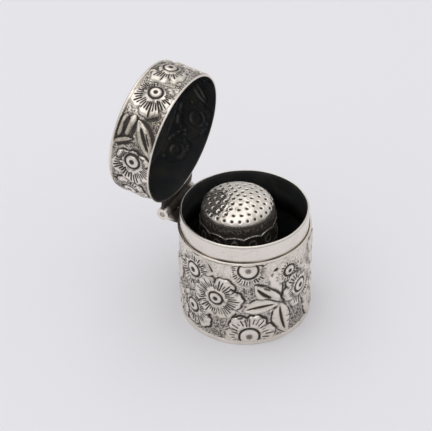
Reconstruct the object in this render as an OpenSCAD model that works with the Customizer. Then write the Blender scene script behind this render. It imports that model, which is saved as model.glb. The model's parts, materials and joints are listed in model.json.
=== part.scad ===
// Embossed silver thimble case with a hinged lid, and the thimble that stands in it.
// Millimetres. The origin is the middle of the base's underside, +Z is up,
// the hinge is at -X and the lid opens up and back over it.

/* [Case] */
// Outer diameter of the case wall's plain ground, without the raised ornament
case_d = 25; // [23:0.5:30]
// Height of the case wall above the base plate, up to the ledge
wall_h = 19; // [17:0.5:26]
// Thickness of the case wall's sheet
wall_t = 0.45; // [0.4:0.05:0.7]
// Thickness of the base plate
base_t = 0.5; // [0.4:0.1:1.2]
// Rounding of the base plate's lower edge
base_round = 0.2; // [0.1:0.05:0.35]

/* [Collar] */
// Height of the collar above the ledge
collar_rise = 3.5; // [2:0.25:4]
// How far the collar reaches down inside the case wall
collar_depth = 4; // [2:0.5:8]
// Thickness of the collar's sheet
collar_t = 0.45; // [0.3:0.05:0.6]
// How far the collar leans in from its foot to its top, so that the lid swings clear
collar_lean = 0.17; // [0.15:0.01:0.3]
// Solder gap between round pieces of one body
solder = 0.02; // [0.01:0.01:0.05]

/* [Lid] */
// Height of the lid's wall, from the seam to the top plate
lid_h = 7.9; // [6:0.1:12]
// Radial clearance between the lid's wall and the collar's foot
lid_fit = 0.08; // [0.05:0.01:0.15]
// Gap at the seam when the lid is shut
seam_gap = 0.05; // [0.03:0.01:0.15]
// Thickness of the lid's top plate
lid_top_t = 0.4; // [0.3:0.05:0.8]
// Radius of the top plate's rounded shoulder
lid_shoulder = 0.55; // [0.45:0.05:1]
// Further rise of the top plate from its shoulder to its middle
lid_crown = 0.45; // [0.2:0.05:1.2]
// How far the lid stands open, from shut to its stop
open_angle = 82; // [70:1:100]

/* [Hinge] */
// Distance of the hinge pin's axis from the case wall's plain ground
hinge_reach = 2.1; // [1.9:0.1:3]
// Height of the hinge pin's axis above the ledge
hinge_lift = 0.25; // [0:0.05:0.4]
// Length of the hinge barrel
hinge_len = 10.6; // [8:0.2:14]
// Outer diameter of the hinge barrel
barrel_d = 2.4; // [2:0.1:2.8]
// Diameter of the hinge pin
pin_d = 1; // [0.8:0.1:1.2]
// Radial clearance of the pin in the lid's knuckles
pin_run = 0.04; // [0.02:0.01:0.08]
// Radial clearance of the pin in the case's knuckles, which hold it
pin_hold = 0.01; // [0.01:0.01:0.02]
// Gap between neighbouring knuckles
knuckle_gap = 0.06; // [0.04:0.02:0.2]
// Number of knuckles, the odd ones on the case and the even ones on the lid
knuckles = 5; // [3:2:7]
// Thickness of both hinge leaves
leaf_t = 0.6; // [0.4:0.05:0.8]
// Clearance round a turning knuckle in the other leaf
leaf_clear = 0.15; // [0.1:0.05:0.3]
// How far each stop heel stands out of its knuckle
heel_out = 0.55; // [0.45:0.05:0.65]
// Thickness of each stop heel
heel_t = 0.4; // [0.3:0.05:0.6]
// Gap between a stop heel and the case's leaf with the lid open
stop_gap = 0.03; // [0.02:0.01:0.1]

/* [Thimble] */
// Height of the thimble
thimble_h = 24.4; // [18:0.2:25]
// Outer diameter of the side at the mouth, without the rolled rim
mouth_d = 16.9; // [15:0.1:17.5]
// Outer diameter at the shoulder, where the dome begins
shoulder_d = 14.5; // [12:0.1:15]
// Rise of the dome above the shoulder
dome_rise = 3.1; // [2:0.1:6]
// Thickness of the thimble's sheet
thimble_t = 0.45; // [0.3:0.05:0.8]
// Diameter of the rolled rim's bead
bead_d = 0.9; // [0.6:0.05:1.2]
// Distance of the scalloped band's upper edge from the dome's shoulder
band_drop = 2; // [1:0.1:5]
// Height of the scalloped band
band_h = 12.5; // [5:0.5:14]
// How far the scalloped band stands out of the side
band_out = 0.3; // [0.15:0.05:0.5]
// Number of scallops round the band
scallops = 14; // [10:1:20]
// Where the thimble stands in the case, along X
thimble_x = -1.75; // [-2:0.05:2]
// Where the thimble stands in the case, along Y
thimble_y = 0.75; // [-1:0.05:1]

/* [Ornament] */
// Height of the raised flowers and leaves above the ground
relief = 0.2; // [0.1:0.02:0.3]
// Number of petals of a large flower
petals = 6; // [5:1:8]
// Width of the groove round a flower's eye
eye_groove = 0.4; // [0.25:0.05:0.6]
// Width of a leaf's vein
vein_w = 0.3; // [0.2:0.05:0.5]
// Distance of a leaf's root from the point that its cluster springs from
leaf_root = 0.35; // [0.25:0.05:0.6]

/* [Hidden] */
$fn = 96;

case_r = case_d / 2;
bore_r = case_r - wall_t;
ledge_z = base_t + wall_h;
collar_r = bore_r - solder;
lid_in_r = collar_r + lid_fit;
lid_z = ledge_z + seam_gap;
lid_top_z = lid_z + lid_h;
hinge_x = case_r + hinge_reach;
hinge_z = ledge_z + hinge_lift;
barrel_r = barrel_d / 2;
pin_r = pin_d / 2;
knuckle_pitch = hinge_len / knuckles;
leaf_in = sqrt(case_r * case_r - hinge_len * hinge_len / 4) - 0.5;
heel_r = barrel_r + heel_out;
leaf_under = hinge_lift + leaf_t;
shoulder_z = thimble_h - dome_rise;
mouth_r = mouth_d / 2;
shoulder_r = shoulder_d / 2;
over = 0.5;

// Flowers on the case: angle round the axis, height, radius, petals, turn, radius of the eye
case_flowers = [
    [-110, 15.0, 4.2, petals, 10, 1.4], [-88, 10.6, 4.8, petals, 0, 1.35],
    [-59, 17.9, 4.4, petals, 15, 1.8], [-59, 2.2, 5.0, petals, 5, 1.6],
    [-113, 6.0, 4.3, petals, 20, 1.4], [-22, 15.6, 3.0, 5, 0, 1.3],
    [-6, 10.4, 4.3, petals, 12, 1.5], [14, 4.0, 4.6, petals, 0, 1.6],
    [32, 13.6, 4.8, petals, 8, 1.4], [58, 6.6, 4.8, petals, 0, 1.5],
    [62, 17.3, 4.2, petals, 20, 1.65], [84, 2.2, 4.4, petals, 4, 1.6],
    [108, 12.4, 4.8, petals, 14, 1.5], [136, 4.6, 4.8, petals, 0, 1.6],
    [-168, 7.0, 4.8, petals, 10, 1.4], [-138, 2.6, 4.2, petals, 16, 1.4]];
// Leaves on the case: angle and height of the root, length, width, direction
case_leaves = [
    [-32, 10, 6.2, 2.6, 142], [-32, 10, 7.6, 2.0, 194], [-32, 10, 7.8, 3.0, -78],
    [-32, 10, 5.6, 2.4, 88], [86, 8, 6.4, 2.6, 40], [86, 8, 7.2, 2.4, 118],
    [86, 8, 5.0, 2.2, -150], [8, 15.5, 5.6, 2.4, 60], [140, 11, 5.2, 2.4, 70],
    [-138, 8.5, 6.0, 2.6, 75], [-138, 8.5, 5.2, 2.2, 140], [164, 11.5, 5.0, 2.2, 100]];
// Flowers on the lid's wall: angle, height above the seam, radius, petals, turn, eye
lid_flowers = [
    [12, 5.0, 3.6, petals, 0, 1.3], [-23, 3.7, 4.2, petals, 10, 1.4],
    [-83, 3.5, 4.0, petals, 0, 1.6], [-120, 4.4, 3.8, petals, 15, 1.4],
    [48, 3.8, 4.0, petals, 6, 1.4], [108, 3.6, 4.0, petals, 0, 1.5],
    [142, 5.6, 3.0, 5, 10, 1.1], [-152, 5.4, 3.0, 5, 0, 1.1]];
// Leaves on the lid's wall: angle and height above the seam, length, width, direction
lid_leaves = [
    [-45, 5.6, 4.6, 2.0, 172], [-46, 4.4, 7.2, 2.6, 216], [-64, 5.0, 3.6, 1.6, 60],
    [66, 5.0, 6.0, 2.4, -30], [66, 4.6, 5.0, 2.0, 30], [88, 6.4, 4.0, 1.8, 170]];

// Flat outline of a flower: round petals that run together, and a ring cut round the eye
module flower_outline(r, n, turn, eye) {
    reach = 0.62 * r;
    lobe = 1.12 * reach * sin(180 / n);
    difference() {
        union() {
            circle(r = reach);
            for (i = [0 : n - 1])
                rotate(turn + 360 * i / n) translate([reach, 0]) circle(r = min(lobe, r - reach));
        }
        difference() {
            circle(r = eye + eye_groove);
            circle(r = eye);
        }
    }
}

// Flat outline of a leaf: two arcs from the root to the tip, and a slot for the vein
module leaf_outline(len, wid) {
    arc_r = (len * len + wid * wid) / (4 * wid);
    difference() {
        translate([leaf_root + len / 2, 0]) intersection() {
            translate([0, arc_r - wid / 2]) circle(r = arc_r);
            translate([0, wid / 2 - arc_r]) circle(r = arc_r);
        }
        translate([leaf_root + 0.18 * len, -vein_w / 2]) square([0.6 * len, vein_w]);
    }
}

// Raised island on a round wall: a flat outline pushed out along the radius
module island(r, z0, z1, ang, z) {
    intersection() {
        translate([0, 0, z0]) difference() {
            cylinder(r = r + relief, h = z1 - z0);
            translate([0, 0, -over]) cylinder(r = r - wall_t / 2, h = z1 - z0 + 2 * over);
        }
        rotate([0, 0, ang]) translate([r / 2, 0, z]) rotate([90, 0, 90])
            linear_extrude(height = r) children();
    }
}

// Tube with a plain ground between two heights
module tube(ro, ri, z0, z1) {
    translate([0, 0, z0]) difference() {
        cylinder(r = ro, h = z1 - z0);
        translate([0, 0, -over]) cylinder(r = ri, h = z1 - z0 + 2 * over);
    }
}

// Carries a piece of the lid from its shut place to its open one
module opened() {
    translate([-hinge_x, 0, hinge_z]) rotate([0, -open_angle, 0])
        translate([hinge_x, 0, -hinge_z]) children();
}

// Round bar along the hinge axis over a stretch of Y
module hinge_bar(r, y0, y1) {
    translate([-hinge_x, y0, hinge_z]) rotate([-90, 0, 0]) cylinder(r = r, h = y1 - y0);
}

// Stretch of Y that knuckle i fills
function knuckle_y0(i) = -hinge_len / 2 + i * knuckle_pitch + (i > 0 ? knuckle_gap / 2 : 0);
function knuckle_y1(i) = -hinge_len / 2 + (i + 1) * knuckle_pitch
                         - (i < knuckles - 1 ? knuckle_gap / 2 : 0);

// One hinge leaf: a flat bearer from the wall to the barrel, with the knuckles of one parity
module leaf(first, z0, wall_r, bore) {
    difference() {
        union() {
            translate([-hinge_x, -hinge_len / 2, z0])
                cube([hinge_x - leaf_in, hinge_len, leaf_t]);
            for (i = [first : 2 : knuckles - 1])
                hinge_bar(barrel_r, knuckle_y0(i), knuckle_y1(i));
        }
        for (i = [1 - first : 2 : knuckles - 1])
            hinge_bar(barrel_r + leaf_clear,
                      i == 0 ? -hinge_len : knuckle_y0(i) - knuckle_gap,
                      i == knuckles - 1 ? hinge_len : knuckle_y1(i) + knuckle_gap);
        translate([0, 0, z0 - over]) cylinder(r = wall_r + solder, h = leaf_t + 2 * over);
        hinge_bar(bore, -hinge_len, hinge_len);
    }
}

module base_wall() color([0.80, 0.78, 0.76]) {
    tube(case_r, bore_r, base_t, ledge_z);
    for (f = case_flowers)
        island(case_r, base_t, ledge_z, f[0], f[1]) flower_outline(f[2], f[3], f[4], f[5]);
    for (l = case_leaves)
        island(case_r, base_t, ledge_z, l[0], l[1]) rotate(l[4]) leaf_outline(l[2], l[3]);
}

module base_plate() color([0.74, 0.73, 0.71])
    rotate_extrude() {
        square([case_r - base_round, base_t]);
        translate([0, base_round]) square([case_r, base_t - base_round]);
        translate([case_r - base_round, base_round]) circle(r = base_round, $fn = 32);
    }

module collar() color([0.88, 0.87, 0.85])
    translate([0, 0, ledge_z]) rotate_extrude() {
        top_r = collar_r - collar_lean;
        polygon([[collar_r - collar_t, -collar_depth], [collar_r, -collar_depth], [collar_r, 0],
                 [top_r, collar_rise - collar_t / 3], [top_r - collar_t / 3, collar_rise],
                 [top_r - collar_t * 2 / 3, collar_rise],
                 [top_r - collar_t, collar_rise - collar_t / 3], [collar_r - collar_t, 0]]);
    }

module case_leaf() color([0.60, 0.59, 0.57])
    leaf(0, ledge_z - leaf_t, case_r, pin_r + pin_hold);

module hinge_pin() color([0.70, 0.69, 0.67])
    hinge_bar(pin_r, -hinge_len / 2, hinge_len / 2);

module lid_wall() color([0.80, 0.78, 0.76]) opened() {
    tube(case_r, lid_in_r, lid_z, lid_top_z);
    for (f = lid_flowers)
        island(case_r, lid_z, lid_top_z, f[0], lid_z + f[1]) flower_outline(f[2], f[3], f[4], f[5]);
    for (l = lid_leaves)
        island(case_r, lid_z, lid_top_z, l[0], lid_z + l[1]) rotate(l[4]) leaf_outline(l[2], l[3]);
}

// Flat section of the lid's domed top: a rounded shoulder and a shallow crown
module top_section(r, shoulder, crown) {
    span = r - shoulder;
    crown_r = (span * span + crown * crown) / (2 * crown);
    square([span, shoulder]);
    intersection() {
        translate([span, 0]) circle(r = shoulder);
        square([r + over, shoulder + over]);
    }
    intersection() {
        translate([0, shoulder + crown - crown_r]) circle(r = crown_r, $fn = 720);
        square([span, shoulder + crown + over]);
    }
}

module lid_top() color([0.76, 0.75, 0.73]) opened() translate([0, 0, lid_top_z]) {
    rotate_extrude() difference() {
        top_section(case_r, lid_shoulder, lid_crown);
        translate([0, -over]) square([lid_in_r, over + lid_shoulder - lid_top_t]);
        translate([0, lid_shoulder - lid_top_t]) intersection() {
            crown_r = (lid_in_r * lid_in_r + lid_crown * lid_crown) / (2 * lid_crown);
            translate([0, lid_crown - crown_r]) circle(r = crown_r, $fn = 720);
            square([lid_in_r, lid_crown + over]);
        }
    }
}

// Stop heel of one lid knuckle, drawn where it is with the lid open
module heel(y0, y1) {
    intersection() {
        translate([-hinge_x, y0, hinge_z - leaf_under - stop_gap - heel_t])
            cube([heel_r + over, y1 - y0, heel_t]);
        hinge_bar(heel_r, y0 - over, y1 + over);
    }
}

module lid_leaf() color([0.60, 0.59, 0.57]) opened() {
    leaf(1, lid_z, case_r, pin_r + pin_run);
    translate([-hinge_x, 0, hinge_z]) rotate([0, open_angle, 0])
        translate([hinge_x, 0, -hinge_z])
            for (i = [1 : 2 : knuckles - 1]) heel(knuckle_y0(i), knuckle_y1(i));
}

// Flat section of the thimble's outside, from the mouth to the dome
module thimble_section(off) {
    r0 = mouth_r - off;
    r1 = shoulder_r - off;
    polygon([[0, 0], [r0, 0], [r1, shoulder_z], [0, shoulder_z]]);
    translate([0, shoulder_z]) intersection() {
        rise = dome_rise - off;
        corner = 0.62 * rise;
        crown = rise - corner;
        flat_r = r1 - corner;
        crown_r = (flat_r * flat_r + crown * crown) / (2 * crown);
        union() {
            square([flat_r, corner]);
            translate([flat_r, 0]) circle(r = corner);
            intersection() {
                translate([0, rise - crown_r]) circle(r = crown_r, $fn = 360);
                translate([0, corner / 2]) square([flat_r, rise]);
            }
        }
        square([r1 + over, rise + over]);
    }
}

// Radius of the thimble's side at a height
function side_r(z) = mouth_r + (shoulder_r - mouth_r) * z / shoulder_z;

module thimble() color([0.85, 0.84, 0.82]) translate([thimble_x, thimble_y, base_t]) {
    band_z1 = shoulder_z - band_drop;
    band_z0 = band_z1 - band_h;
    lobe = PI * side_r(band_z1) / scallops;
    difference() {
        union() {
            rotate_extrude() thimble_section(0);
            rotate_extrude() translate([mouth_r - bead_d / 4, bead_d / 2]) circle(r = bead_d / 2);
            intersection() {
                rotate_extrude() polygon([[0, band_z0], [side_r(band_z0), band_z0],
                    [side_r(band_z0) + band_out, band_z0 + band_out],
                    [side_r(band_z1) + band_out, band_z1], [0, band_z1]]);
                union() {
                    cylinder(r = mouth_r + over, h = band_z1 - lobe / 2);
                    for (i = [0 : scallops - 1])
                        rotate([0, 0, 360 * i / scallops])
                            translate([mouth_r / 2, 0, band_z1 - lobe])
                                rotate([0, 90, 0]) cylinder(r = lobe, h = mouth_r);
                }
            }
        }
        rotate_extrude() thimble_section(thimble_t);
        translate([0, 0, -over]) cylinder(r = mouth_r - thimble_t, h = over + 0.01);
    }
}

base_wall();
base_plate();
collar();
case_leaf();
hinge_pin();
lid_wall();
lid_top();
lid_leaf();
thimble();
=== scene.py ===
"""Embossed silver thimble case, its hinged lid open, with a thimble standing in it.

Laid out as an add-on: sizes and finishes are properties, each piece or group of
like pieces has an operator, and one panel lists them. Sizes inside the relief
functions are in millimetres; meshes are in metres, in the frame of the CAD model.
"""

import json
import math
from typing import NamedTuple

import bmesh
import bpy
import numpy as np
from bpy.props import FloatProperty, FloatVectorProperty, IntProperty, PointerProperty
from bpy.types import Operator, Panel, PropertyGroup
from mathutils import Matrix, Vector


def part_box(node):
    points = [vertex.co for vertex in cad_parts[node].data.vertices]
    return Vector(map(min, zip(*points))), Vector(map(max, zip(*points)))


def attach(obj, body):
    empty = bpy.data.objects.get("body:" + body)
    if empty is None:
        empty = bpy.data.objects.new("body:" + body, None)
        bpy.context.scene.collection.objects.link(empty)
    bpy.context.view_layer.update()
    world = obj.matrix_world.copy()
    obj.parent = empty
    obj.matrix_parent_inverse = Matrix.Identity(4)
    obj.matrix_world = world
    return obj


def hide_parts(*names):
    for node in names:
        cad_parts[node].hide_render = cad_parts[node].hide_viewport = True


bl_info = {
    "name": "Embossed Thimble Case",
    "version": (1, 0, 0),
    "blender": (4, 5, 0),
    "location": "3D View > Sidebar > Thimble Case",
    "description": "Builds an embossed silver thimble case with its lid, hinge and thimble",
    "category": "Object",
}

MM = 0.001
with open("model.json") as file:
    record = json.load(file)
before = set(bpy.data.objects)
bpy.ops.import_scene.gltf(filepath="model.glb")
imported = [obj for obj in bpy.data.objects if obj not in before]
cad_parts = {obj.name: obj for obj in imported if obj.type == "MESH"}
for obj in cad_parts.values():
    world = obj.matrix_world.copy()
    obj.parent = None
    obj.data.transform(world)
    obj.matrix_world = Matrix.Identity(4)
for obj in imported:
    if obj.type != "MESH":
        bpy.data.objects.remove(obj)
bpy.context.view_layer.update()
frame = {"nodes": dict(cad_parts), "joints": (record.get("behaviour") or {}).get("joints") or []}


def joint_named(name):
    """The joint of that name, from the frame."""
    return next(j for j in frame["joints"] if j["name"] == name)


HINGE = joint_named("lid_hinge")
HINGE_POINT = Vector(HINGE["pos_m"])
OPEN_ANGLE = math.radians(-HINGE["range_deg"][0])


def about_hinge(angle):
    """Turn about the hinge pin; a positive angle shuts the lid."""
    there = Matrix.Translation(HINGE_POINT)
    return there @ Matrix.Rotation(angle, 4, "Y") @ there.inverted()


TO_OPEN = about_hinge(-OPEN_ANGLE)


def shut_box(node):
    """Lowest and highest corner of one of the lid's nodes with the lid shut, in millimetres."""
    back = about_hinge(OPEN_ANGLE)
    points = np.array([back @ v.co for v in frame["nodes"][node].data.vertices]) / MM
    return points.min(0), points.max(0)


def mm_box(node):
    """Lowest and highest corner of a node, in millimetres."""
    low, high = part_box(node)
    return np.array(low) / MM, np.array(high) / MM


# Sizes read from the frame, in millimetres
_, PLATE_HIGH = mm_box("base_plate")
_, WALL_HIGH = mm_box("base_wall")
COLLAR_LOW, COLLAR_HIGH = mm_box("collar")
LID_LOW, LID_HIGH = shut_box("lid_wall")
_, TOP_HIGH = shut_box("lid_top")
PIN_LOW, PIN_HIGH = mm_box("hinge_pin")
THIMBLE_LOW, THIMBLE_HIGH = mm_box("thimble")

CASE_R = PLATE_HIGH[0]
OUTER_R = WALL_HIGH[0]
BASE_T = PLATE_HIGH[2]
LEDGE_Z = WALL_HIGH[2]
COLLAR_R = COLLAR_HIGH[0]
COLLAR_TOP = COLLAR_HIGH[2]
COLLAR_FOOT = COLLAR_LOW[2]
LID_Z = LID_LOW[2]
LID_TOP_Z = LID_HIGH[2]
CROWN_Z = TOP_HIGH[2]
HINGE_X = HINGE_POINT.x / MM
HINGE_Z = HINGE_POINT.z / MM
HINGE_LEN = PIN_HIGH[1] - PIN_LOW[1]
PIN_R = (PIN_HIGH[2] - PIN_LOW[2]) / 2
THIMBLE_X = (THIMBLE_LOW[0] + THIMBLE_HIGH[0]) / 2
THIMBLE_Y = (THIMBLE_LOW[1] + THIMBLE_HIGH[1]) / 2
THIMBLE_H = THIMBLE_HIGH[2] - THIMBLE_LOW[2]

# Sizes that the frame's boxes don't show, in millimetres
WALL_T = 0.45
COLLAR_T = 0.45
COLLAR_LEAN = 0.04
LID_INNER_R = CASE_R - WALL_T + 0.06
TOP_SHOULDER = 0.55
TOP_T = 0.4
TOP_FILLET = 0.16
TOP_LEAF_ROOT = 6.2
TOP_LEAF_TIP = 10.9
TOP_LEAF_WIDTH = 2.6
TOP_GROUND_R = 11.5
TOP_LINE_R = 11.55
TOP_LINE_W = 0.13
TOP_SINK = 0.30
THIMBLE_T = 0.45
THIMBLE_BEAD = 0.9
SHOULDER_R = 6.88
SHOULDER_DROP = 3.1
DOME_RISE = 2.85
DOME_CORNER = 1.9
BAND_DROP = 1.9
BAND_H = 12.5
BAND_OUT = 0.3
BAND_LINE = 0.23
SCALLOP_DROP = 0.8
OVAL_DROP = 1.75
OVAL_WIDE = 0.66
OVAL_TALL = 0.82
LOWER_LINE_DROP = 3.4

# Number of plane waves that make one smooth random field
WAVE_COUNT = 14

# Light and surroundings, in metres and linear colours
FLOOR_HALF = 30.0
LAMP_PLACE = (-0.18, -0.10, 0.90)
LAMP_SIZE = (1.6, 1.1)
LAMP_POWER = 3.2
LAMP_COLOUR = (1.0, 0.985, 0.96)
WORLD_COLOUR = (0.98, 0.98, 1.0, 1.0)
WORLD_STRENGTH = 0.80
BACKGROUND = (0.76, 0.755, 0.79, 1.0)
LOW_SKY = (0.54, 0.54, 0.55, 1.0)
HIGH_SKY = (0.78, 0.78, 0.78, 1.0)


class CaseSizes(PropertyGroup):
    """Sizes of the embossing on the case and its lid."""

    relief: FloatProperty(
        name="Relief",
        description="Height of the petals and leaves above the ground",
        default=0.38 * MM, min=0.1 * MM, max=0.42 * MM, precision=5, unit="LENGTH",
    )
    groove: FloatProperty(
        name="Groove",
        description="Depth of the chased lines below the ground",
        default=0.10 * MM, min=0.0, max=0.12 * MM, precision=5, unit="LENGTH",
    )
    matting: FloatProperty(
        name="Matting depth",
        description="Depth of the punch marks that cover the ground",
        default=0.08 * MM, min=0.0, max=0.12 * MM, precision=5, unit="LENGTH",
    )
    punch: FloatProperty(
        name="Matting size",
        description="Size of the short punch marks that cover the ground",
        default=0.19 * MM, min=0.15 * MM, max=1.0 * MM, precision=5, unit="LENGTH",
    )


class HingeSizes(PropertyGroup):
    """Sizes of the hinge's worn metal."""

    edge: FloatProperty(
        name="Worn edge",
        description="Rounding of the hinge's edges",
        default=0.07 * MM, min=0.02 * MM, max=0.2 * MM, precision=5, unit="LENGTH",
    )


class ThimbleSizes(PropertyGroup):
    """Sizes of the thimble's dimples and band."""

    pitch: FloatProperty(
        name="Dimple pitch",
        description="Distance between neighbouring dimples",
        default=1.5 * MM, min=0.8 * MM, max=2.5 * MM, precision=5, unit="LENGTH",
    )
    dimple: FloatProperty(
        name="Dimple width",
        description="Width of each dimple",
        default=0.86 * MM, min=0.4 * MM, max=1.4 * MM, precision=5, unit="LENGTH",
    )
    depth: FloatProperty(
        name="Dimple depth",
        description="Depth of each dimple",
        default=0.15 * MM, min=0.05 * MM, max=0.4 * MM, precision=5, unit="LENGTH",
    )
    rings: IntProperty(
        name="Dimple rings",
        description="Number of rings of dimples, from the middle of the dome down its side",
        default=6, min=3, max=12,
    )
    scallops: IntProperty(
        name="Scallops",
        description="Number of scallops along the band's upper edge",
        default=13, min=8, max=24,
    )


class SilverFinish(PropertyGroup):
    """Colours of the silver, of what has settled on it and of its painted shade."""

    silver: FloatVectorProperty(
        name="Silver",
        description="Bright silver of the raised parts",
        default=(0.87, 0.805, 0.735), size=3, min=0.0, max=1.0, subtype="COLOR",
    )
    collar: FloatVectorProperty(
        name="Collar silver",
        description="Plain polished silver of the collar and the base",
        default=(0.84, 0.785, 0.72), size=3, min=0.0, max=1.0, subtype="COLOR",
    )
    # this oxide colour is also the colour of the painted shade in hollows and along outlines
    patina: FloatVectorProperty(
        name="Patina",
        description="Brown-black oxide in the hollows",
        default=(0.045, 0.036, 0.030), size=3, min=0.0, max=1.0, subtype="COLOR",
    )
    oxide: FloatVectorProperty(
        name="Inside",
        description="Near-black oxide on the inner faces",
        default=(0.036, 0.038, 0.040), size=3, min=0.0, max=1.0, subtype="COLOR",
    )


class StageSettings(PropertyGroup):
    """Floor, light and camera."""

    floor: FloatVectorProperty(
        name="Floor",
        description="Colour of the pale floor",
        default=(0.785, 0.783, 0.81), size=3, min=0.0, max=1.0, subtype="COLOR",
    )
    azimuth: FloatProperty(
        name="Azimuth",
        description="Direction of the camera round the object, from -Y towards +X",
        default=math.radians(29.498), subtype="ANGLE",
    )
    elevation: FloatProperty(
        name="Elevation",
        description="Height of the camera above the horizon",
        default=math.radians(37.291), subtype="ANGLE",
    )
    roll: FloatProperty(
        name="Roll",
        description="Turn of the camera about its line of sight",
        default=math.radians(-1.714), subtype="ANGLE",
    )
    distance: FloatProperty(
        name="Distance",
        description="Distance from the camera to the point it looks at",
        default=244.22 * MM, min=0.05, unit="LENGTH",
    )
    target: FloatVectorProperty(
        name="Target",
        description="Point that the camera looks at",
        default=(-10.716 * MM, 8.246 * MM, 11.672 * MM), size=3, precision=5, unit="LENGTH",
    )
    lens: FloatProperty(
        name="Lens",
        description="Focal length in millimetres, on a sensor 36 mm wide",
        default=103.02, min=20.0,
    )


class Flower(NamedTuple):
    """An embossed flower. Angles in degrees, sizes in millimetres.

    Its place is an angle round the wall and a rise above the wall's foot. Tall stretches it up
    the wall, and egg is how much further its petals reach towards lean. The outline holds patina,
    with a painted shadow that makes it wider and darker towards the shadow side's angle; pupil is
    the darkness of the eye's middle, and reach moves the dashes out.
    """

    angle: float
    rise: float
    radius: float
    eye: float
    turn: float = 0.0
    petals: int = 6
    tall: float = 1.0
    dashes: int = 6
    shadow_side: float = -20.0
    outline: float = 1.0
    egg: float = 0.0
    lean: float = 180.0
    pupil: float = 1.0
    reach: float = 0.0


class Leaf(NamedTuple):
    """An embossed leaf from its root to its tip, its vein from start to split of its length.

    A higher belly puts its widest place nearer the tip, round turns its two halves into one
    bulb, and notches cut one of its edges.
    """

    root: tuple
    tip: tuple
    width: float
    bend: float = 0.0
    vein: float = 0.19
    start: float = 0.08
    split: float = 0.92
    belly: float = 0.85
    round: float = 0.0
    notches: int = 0
    # which edge of the leaf gets the darker painted shadow beside it
    shadow_side: float = 0.0


class Stroke(NamedTuple):
    """A single chased line, with its width and darkness."""

    start: tuple
    end: tuple
    width: float
    dark: float = 1.0


class Wall(NamedTuple):
    """An embossed tube: its ornament, its span of heights and its other measures.

    Rims are the radii of its rounded edges and bands the plain strips along them, the lower
    one first. Its inner finish starts dark_from rings past the outer face. Handling has worn
    the ground bright within worn of the upper edge. Where hollow is above 0, the inside shows
    that share of the ornament sunk in.
    """

    flowers: list
    leaves: list
    strokes: list
    tarnish: list
    span: tuple
    inner_r: float
    rims: tuple
    bands: tuple
    columns: int
    inner_rows: int
    dark_from: int
    worn: float
    seed: int
    punch_seed: float
    hollow: float = 0.0


# Ornament of the walls: what the photograph shows first, then the sides that it doesn't show
CASE_FLOWERS = [
    Flower(-114, 5.6, 4.0, 1.22, 20, egg=0.2, lean=-50, shadow_side=-30),
    Flower(-111.3, 14.55, 4.3, 1.34, 10, shadow_side=-10, outline=0.4),
    Flower(-59.6, 17.4, 3.8, 1.64, 15, shadow_side=-90, outline=0.5, pupil=0.6),
    Flower(-21.8, 15.15, 2.8, 1.02, 0, petals=5, dashes=4, shadow_side=200, outline=0.5),
    Flower(-8.3, 9.95, 4.4, 1.24, 12, shadow_side=180, outline=0.9),
    Flower(-59.2, 1.55, 4.9, 1.70, 5, tall=1.04, dashes=5, shadow_side=70, pupil=0.65),
    Flower(-88.4, 10.05, 5.1, 1.16, 0, dashes=7, shadow_side=30),
    Flower(25, 3.9, 4.0, 1.4, 0),
    Flower(34, 13.4, 4.6, 1.4, 8),
    Flower(60, 6.4, 4.6, 1.4, 0),
    Flower(64, 17.0, 4.0, 1.6, 20, outline=0.6),
    Flower(86, 2.0, 4.4, 1.6, 4),
    Flower(108, 12.0, 4.8, 1.4, 14),
    Flower(136, 4.4, 4.8, 1.5, 0),
    Flower(-168, 6.8, 4.8, 1.4, 10),
    Flower(-140, 2.4, 4.0, 1.4, 16),
]
CASE_LEAVES = [
    Leaf((-32.0, 9.6), (-34.2, 16.4), 2.9, 0.5, vein=0.0, belly=1.35, round=0.5, shadow_side=-1),
    Leaf((-30.9, 9.3), (-54.0, 13.6), 3.3, 0.65, vein=0.32, start=0.24, split=0.94, belly=1.0,
         shadow_side=-0.7),
    Leaf((-32.0, 8.4), (-64.0, 8.0), 3.5, -0.4, vein=0.26, start=0.10, split=1.0, belly=1.3),
    Leaf((-31.8, 8.3), (-24.6, 0.5), 3.8, -0.35, vein=0.26, start=0.03, split=0.92,
         notches=2),
    Leaf((1.0, 8.8), (5.5, 0.4), 3.0, 0.3, vein=0.12),
    Leaf((88, 8), (110, 12.0), 2.6, 0.3, notches=2),
    Leaf((88, 8), (73, 14.0), 2.4, -0.3),
    Leaf((88, 8), (68, 5.4), 2.2, 0.2),
    Leaf((8, 15.2), (21, 18.4), 2.4, 0.2),
    Leaf((140, 10.8), (149, 15.8), 2.4, 0.2),
    Leaf((-140, 8.3), (-132.5, 14.2), 2.6, 0.2, notches=2),
    Leaf((-140, 8.3), (-158, 11.6), 2.2, -0.2),
    Leaf((164, 11.3), (160, 16.3), 2.2, 0.2),
    Leaf((172, 11.8), (-173, 17.2), 2.4, -0.2),
]
CASE_STROKES = [
    Stroke((-99.9, 18.1), (-94.8, 17.3), 0.09, 0.7),
    Stroke((-94.8, 17.2), (-91.5, 15.9), 0.26),
    Stroke((-37.6, 16.2), (-33.4, 16.5), 0.15),
    Stroke((-52.6, 18.3), (-46.9, 18.35), 0.12, 0.8),
    Stroke((-36.1, 14.9), (-33.6, 14.5), 0.10, 0.7),
    Stroke((-35.5, 14.0), (-34.0, 13.8), 0.09, 0.7),
    Stroke((-32.8, 15.3), (-32.2, 14.8), 0.09, 0.6),
    Stroke((-27.2, 18.1), (-24.0, 18.2), 0.12, 0.7),
    Stroke((-13.3, 14.3), (-8.6, 14.4), 0.26),
    Stroke((-69.0, 5.9), (-64.6, 6.2), 0.26, 0.8),
    # the next stroke's darkness is painted shade in the ground above the long upper leaf
    Stroke((-46.6, 12.9), (-41.0, 12.1), 0.22, 0.8),
    Stroke((-74.5, 13.2), (-70.6, 12.3), 0.24),
]
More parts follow.
